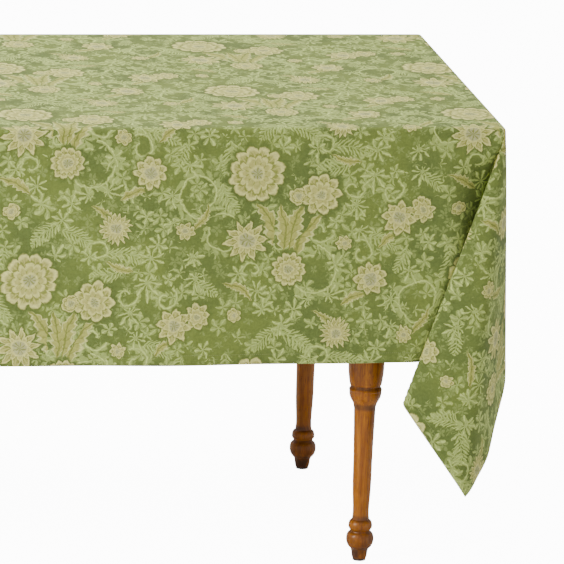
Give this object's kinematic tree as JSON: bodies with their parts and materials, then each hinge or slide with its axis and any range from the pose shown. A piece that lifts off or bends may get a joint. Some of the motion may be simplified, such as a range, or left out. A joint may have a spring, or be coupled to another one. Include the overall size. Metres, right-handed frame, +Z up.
{
  "type": "tablecloth on a table",
  "caption": "Rectangular cotton tablecloth with an allover floral print, folded at the corners, on a dining table with turned wooden legs.",
  "frame": {"origin": "on the floor under the middle of the table", "axes": "+X along the table to the right when facing the front, -Y towards the front, +Z up"},
  "size_m": [1.7018, 0.809, 0.752],
  "materials": {
    "print_cotton": "woven, printed, matt",
    "hem_cotton": "woven, printed, double layer with stitching",
    "honey_wood": "turned, satin varnish",
    "table_wood": "planed, satin varnish",
    "frame_wood": "planed, unfinished",
    "zinc_steel": "zinc plated",
    "glide_nylon": "moulded"
  },
  "bodies": {
    "table": {"apron_back": "table_wood", "apron_front": "table_wood", "apron_left": "table_wood", "apron_right": "table_wood", "batten_left": "frame_wood", "batten_right": "frame_wood", "batten_screws": "zinc_steel", "brace_back_left": "frame_wood", "brace_back_right": "frame_wood", "brace_front_left": "frame_wood", "brace_front_right": "frame_wood", "brace_screws": "zinc_steel", "clip_screws": "zinc_steel", "glide_back_left": "glide_nylon", "glide_back_right": "glide_nylon", "glide_front_left": "glide_nylon", "glide_front_right": "glide_nylon", "hanger_bolts": "zinc_steel", "leg_back_left": "honey_wood", "leg_back_right": "honey_wood", "leg_front_left": "honey_wood", "leg_front_right": "honey_wood", "top_board_1": "table_wood", "top_board_2": "table_wood", "top_board_3": "table_wood", "top_board_4": "table_wood", "top_board_5": "table_wood", "top_clips": "zinc_steel", "washers": "zinc_steel", "wing_nuts": "zinc_steel"},
    "tablecloth": {"cloth_drop_back": "print_cotton", "cloth_drop_front": "print_cotton", "cloth_drop_left": "print_cotton", "cloth_drop_right": "print_cotton", "cloth_fold_back_left": "print_cotton", "cloth_fold_back_right": "print_cotton", "cloth_fold_front_left": "print_cotton", "cloth_fold_front_right": "print_cotton", "cloth_pleat_back_left": "print_cotton", "cloth_pleat_back_right": "print_cotton", "cloth_pleat_front_left": "print_cotton", "cloth_pleat_front_right": "print_cotton", "cloth_top": "print_cotton", "hem_back": "hem_cotton", "hem_corner_back_left": "hem_cotton", "hem_corner_back_right": "hem_cotton", "hem_corner_front_left": "hem_cotton", "hem_corner_front_right": "hem_cotton", "hem_front": "hem_cotton", "hem_left": "hem_cotton", "hem_right": "hem_cotton"}
  },
  "joints": [
    {"name": "cloth_lift", "type": "slide", "parent": "table", "child": "tablecloth", "axis": [0, 0, 1], "range_m": [0, 0.65]}
  ]
}
